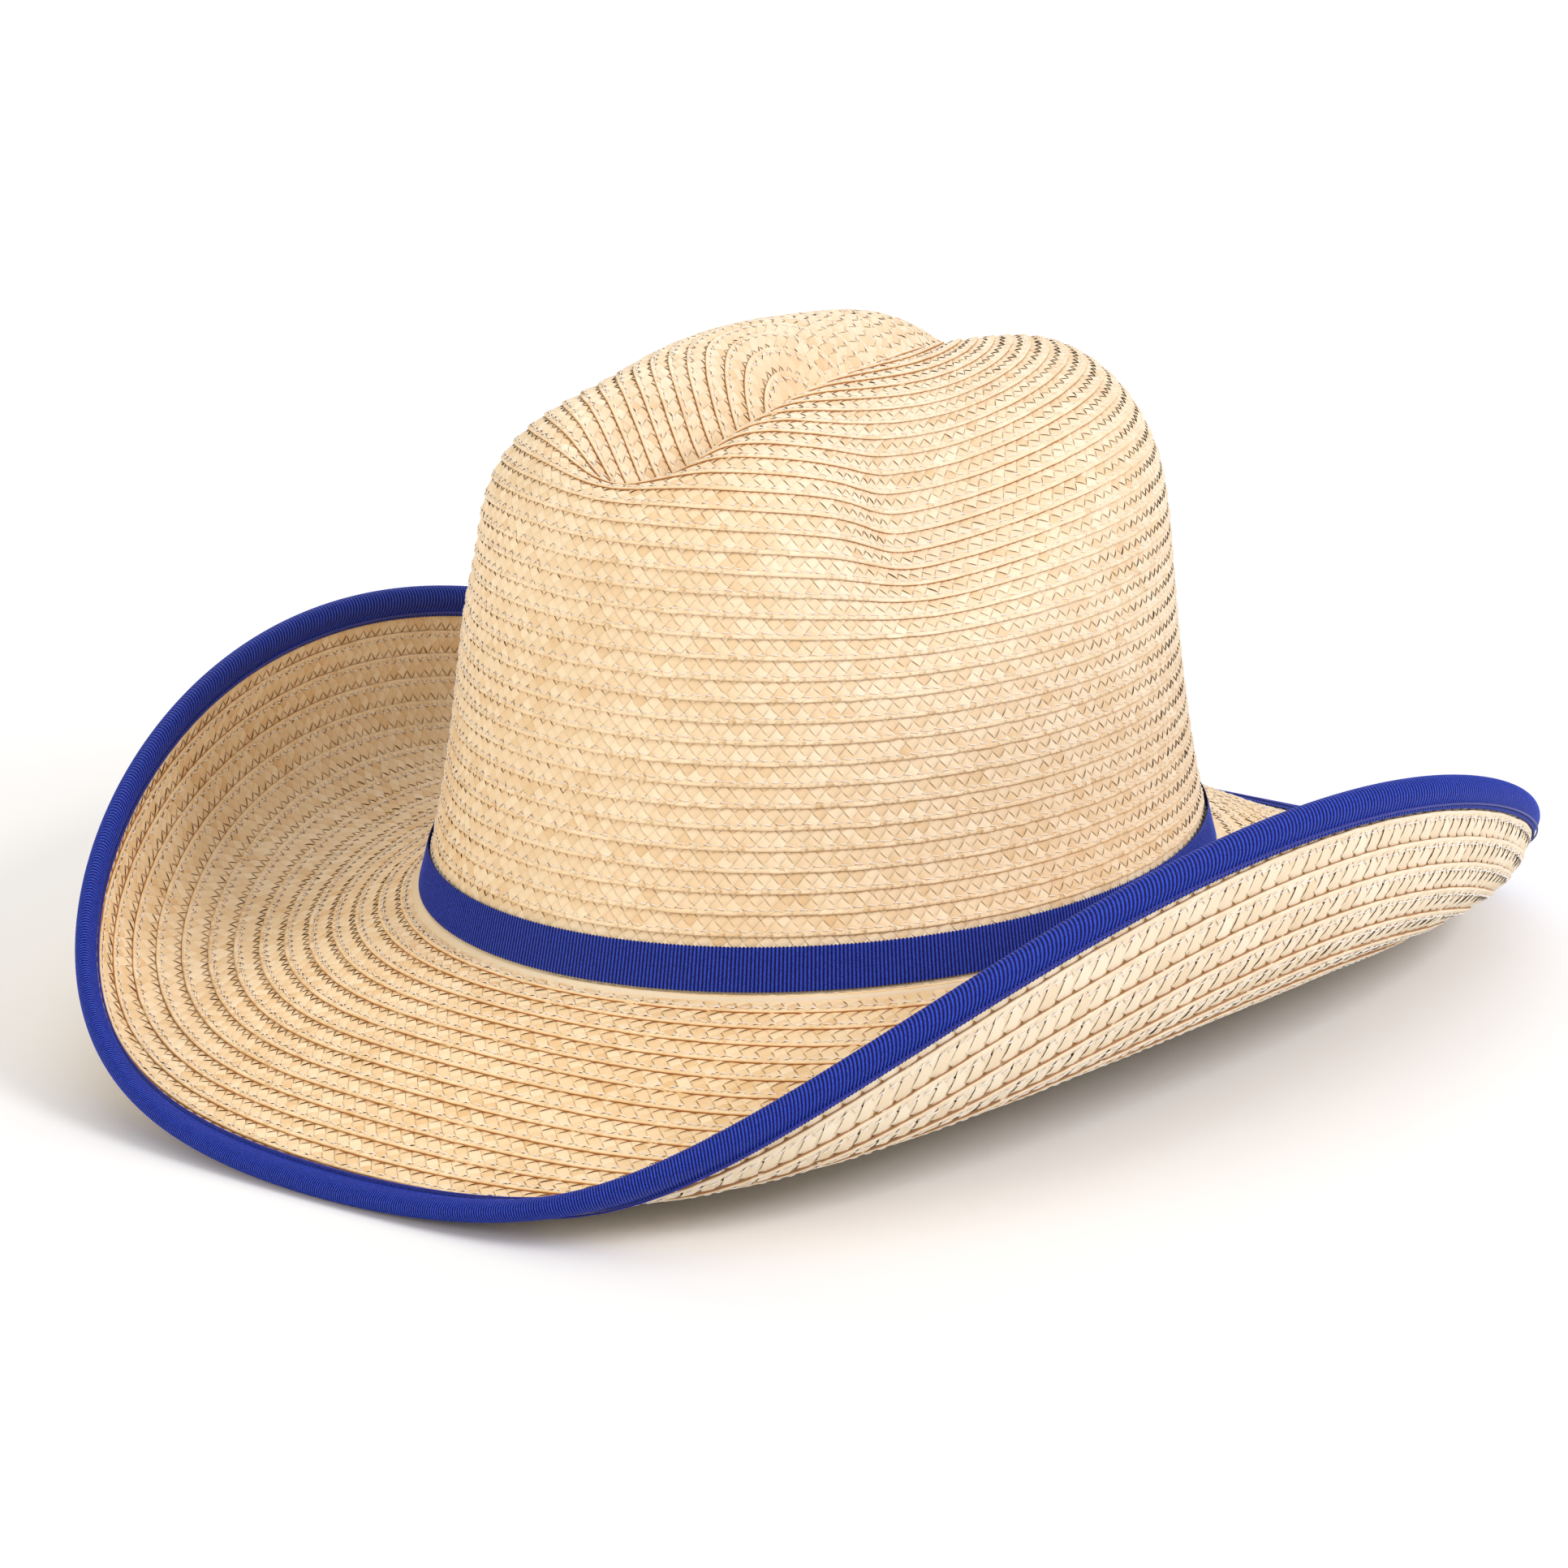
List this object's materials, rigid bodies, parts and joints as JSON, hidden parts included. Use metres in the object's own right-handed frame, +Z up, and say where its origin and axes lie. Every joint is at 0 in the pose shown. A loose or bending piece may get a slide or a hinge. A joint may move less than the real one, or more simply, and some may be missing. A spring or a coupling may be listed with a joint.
{
  "type": "cowboy hat",
  "caption": "Western hat of sewn palm braid with creased crown, side-curled brim, ribbon hat band and ribbon-bound wired edge.",
  "frame": {"origin": "centre of the bounding box at floor level, the hat standing on the front and back of its brim", "axes": "+X to the wearer's left, the front of the hat at -Y, +Y to the back, +Z up through the crown"},
  "size_m": [0.281, 0.339, 0.1462],
  "materials": {
    "palm_braid": "natural cream palm leaf plaited into braid, faint satin",
    "blue_grosgrain": "ribbed royal blue ribbon, soft sheen on the ribs",
    "blue_thread": "twisted sewing thread",
    "cream_thread": "twisted sewing thread",
    "sweatband_cotton": "woven cotton twill",
    "wire_steel": "drawn wire",
    "joiner_aluminium": "crimped tube"
  },
  "bodies": {
    "root": {"crown": "palm_braid", "brim": "palm_braid", "edge_binding": "blue_grosgrain", "binding_stitching": "blue_thread", "edge_wire": "wire_steel", "wire_joiner": "joiner_aluminium", "hat_band": "blue_grosgrain", "hat_band_lap": "blue_grosgrain", "hat_band_tacks": "blue_thread", "sweatband": "sweatband_cotton", "sweatband_tab": "sweatband_cotton", "sweatband_stitching": "cream_thread"}
  },
  "joints": []
}
